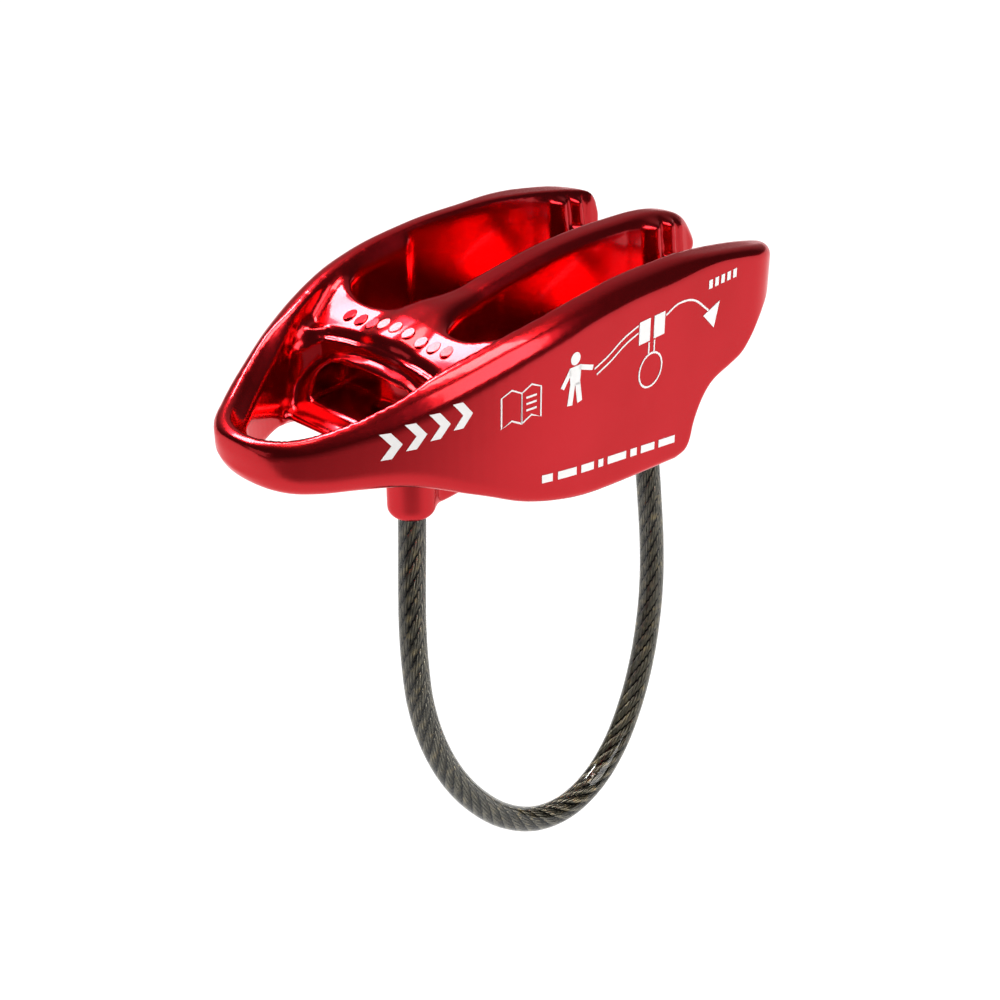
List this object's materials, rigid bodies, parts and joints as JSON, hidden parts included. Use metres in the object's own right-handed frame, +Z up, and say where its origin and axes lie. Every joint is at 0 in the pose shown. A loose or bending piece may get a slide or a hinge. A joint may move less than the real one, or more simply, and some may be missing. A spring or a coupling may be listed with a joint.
{
  "type": "rope descender",
  "caption": "Tube-type rope descender and belay device with two rope slots, a toothed V-groove brake end, a nose eye and a wire keeper loop.",
  "frame": {"origin": "middle of the connector seat: the point on the middle plate's line, level with the lowest edge of the side plates, where the locking connector bears", "axes": "+X towards the toothed brake end, -X towards the nose; Y across the three plates; +Z up, away from the keeper loop"},
  "size_m": [0.0777, 0.035, 0.0828],
  "materials": {
    "anodised_body": "polished and anodised red aluminium, glossy",
    "crimp_sleeve": "plain, satin",
    "clear_jacket": "clear smoky plastic, glossy",
    "steel_strand": "bright drawn wire seen through the dark jacket",
    "laser_mark": "matt pale laser marking"
  },
  "bodies": {
    "device": {"body": "anodised_body", "front_end_sleeve": "crimp_sleeve", "rear_end_sleeve": "crimp_sleeve"},
    "keeper_loop": {"cable_jacket": "clear_jacket", "cable_core": "steel_strand", "cable_strand_1": "steel_strand", "cable_strand_2": "steel_strand", "cable_strand_3": "steel_strand", "cable_strand_4": "steel_strand", "cable_strand_5": "steel_strand", "cable_strand_6": "steel_strand"}
  },
  "joints": [
    {"name": "loop_flex", "type": "hinge", "parent": "device", "child": "keeper_loop", "pos_m": [-0.022, 0, -0.0035], "axis": [0.9855, 0, 0.1699], "range_deg": [-25, 40], "stiffness_Nm_per_rad": 0.05, "deforming": ["cable_jacket", "cable_core", "cable_strand_1", "cable_strand_2", "cable_strand_3", "cable_strand_4", "cable_strand_5", "cable_strand_6"]}
  ]
}
